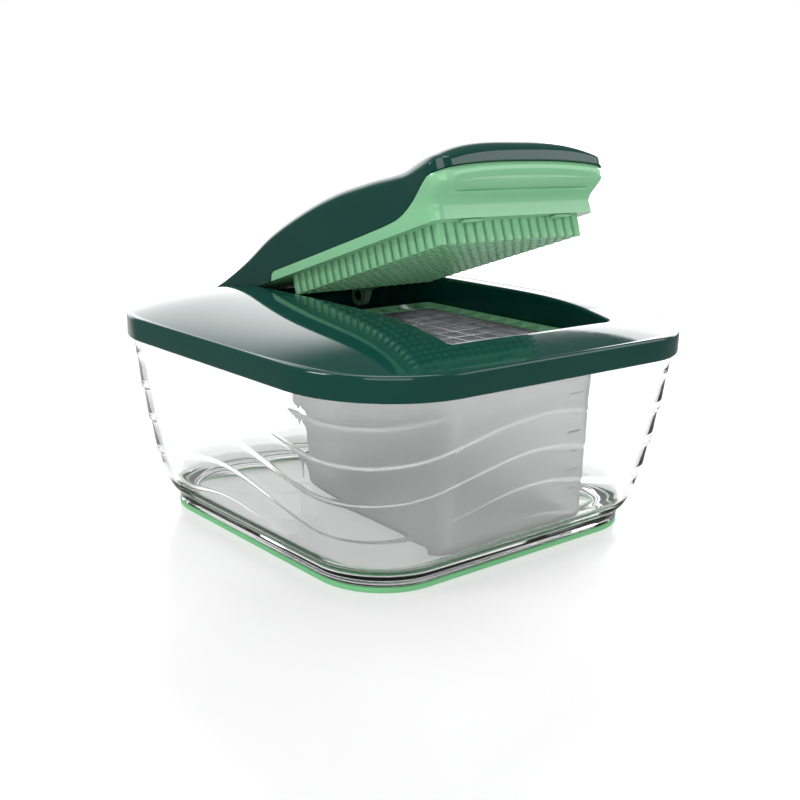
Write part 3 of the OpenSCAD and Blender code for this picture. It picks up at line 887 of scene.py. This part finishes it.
def softbox(name, place, aim, width, height, power, specular=1.0):
    data = bpy.data.lights.new(name, "AREA")
    data.shape = "RECTANGLE"
    data.size = width
    data.size_y = height
    data.energy = power
    data.specular_factor = specular
    obj = bpy.data.objects.new(name, data)
    obj.location = place
    obj.rotation_euler = (Vector(aim) - Vector(place)).to_track_quat("-Z", "Y").to_euler()
    bpy.context.collection.objects.link(obj)


def math_node(tree, operation, a, b):
    node = tree.nodes.new("ShaderNodeMath")
    node.operation = operation
    for i, value in enumerate((a, b)):
        if isinstance(value, (int, float)):
            node.inputs[i].default_value = value
        else:
            tree.links.new(value, node.inputs[i])
    return node.outputs[0]


def smooth_step(tree, value, low, high):
    node = tree.nodes.new("ShaderNodeMapRange")
    node.interpolation_type = "SMOOTHSTEP"
    node.inputs["From Min"].default_value = low
    node.inputs["From Max"].default_value = high
    tree.links.new(value, node.inputs["Value"])
    return node.outputs["Result"]


def studio():
    """White studio: a bright backdrop behind the object, and a dimmer room around it."""
    world = bpy.data.worlds.new("studio")
    bpy.context.scene.world = world
    world.use_nodes = True
    tree = world.node_tree
    background = tree.nodes["Background"]
    coords = tree.nodes.new("ShaderNodeTexCoord")
    split = tree.nodes.new("ShaderNodeSeparateXYZ")
    tree.links.new(coords.outputs["Generated"], split.inputs["Vector"])
    towards = math_node(tree, "ADD", math_node(tree, "MULTIPLY", split.outputs["X"], BACKDROP[0]),
                        math_node(tree, "MULTIPLY", split.outputs["Y"], BACKDROP[1]))
    across = smooth_step(tree, towards, 0.66, 0.88)
    above = smooth_step(tree, split.outputs["Z"], -0.05, 0.04)
    below = smooth_step(tree, math_node(tree, "MULTIPLY", split.outputs["Z"], -1), -0.66, -0.42)
    high = math_node(tree, "ADD", math_node(tree, "MULTIPLY", above, 1.8), 0.6)
    glow = math_node(tree, "MULTIPLY", math_node(tree, "MULTIPLY", across, below), high)
    room = math_node(tree, "ADD", glow, ROOM_LIGHT)
    path = tree.nodes.new("ShaderNodeLightPath")
    through = math_node(tree, "MAXIMUM", path.outputs["Is Camera Ray"],
                        path.outputs["Is Transmission Ray"])
    lift_to_white = math_node(tree, "MULTIPLY", through, math_node(tree, "SUBTRACT", 1, room))
    total = math_node(tree, "ADD", room, lift_to_white)
    tree.links.new(total, background.inputs["Strength"])
    background.inputs["Color"].default_value = (1, 1, 1, 1)
    softbox("top_softbox", (0.0, 0.0, 1.4), (0, 0, 0.1), 1.2, 1.2, 14, 0.5)
    softbox("left_softbox", (-1.3, 0.3, 0.9), (0, 0, 0.1), 0.5, 0.5, 9)
    softbox("right_softbox", (1.05, -0.9, 0.62), (0, 0, 0.12), 0.9, 0.7, 4)
    softbox("side_softbox", (1.25, 0.25, 0.5), (0, 0, 0.1), 0.9, 0.7, 9, 0)
    softbox("fill_softbox", (-0.9, -1.3, 0.5), (0, 0, 0.1), 1.2, 1.0, 9, 0)
    bpy.context.scene.view_settings.view_transform = "Standard"


def floor():
    radius = 8000
    count = 96
    points = [(radius * math.cos(2 * math.pi * i / count), radius * math.sin(2 * math.pi * i / count), 0)
              for i in range(count)]
    obj = make_mesh("studio_floor", points, [tuple(range(count))])
    material, tree, shader = new_material("studio_floor")
    shader.inputs["Base Color"].default_value = (0.34, 0.34, 0.34, 1)
    shader.inputs["Emission Color"].default_value = (1, 1, 1, 1)
    shader.inputs["Emission Strength"].default_value = 0.56
    tree.links.new(spread(tree, noise(tree, 6, 4), 0.2, 0.24), shader.inputs["Roughness"])
    obj.data.materials.append(material)
    obj.visible_glossy = False


camera()
studio()
floor()
container()
grip_ring()
collection_box()
box_marks()
deck_shell()
deck_ledge()
deck_trough()
hinge_bosses()
lid_cover()
lid_grip()
lid_tray()
pin_plate()
paint_nodes()
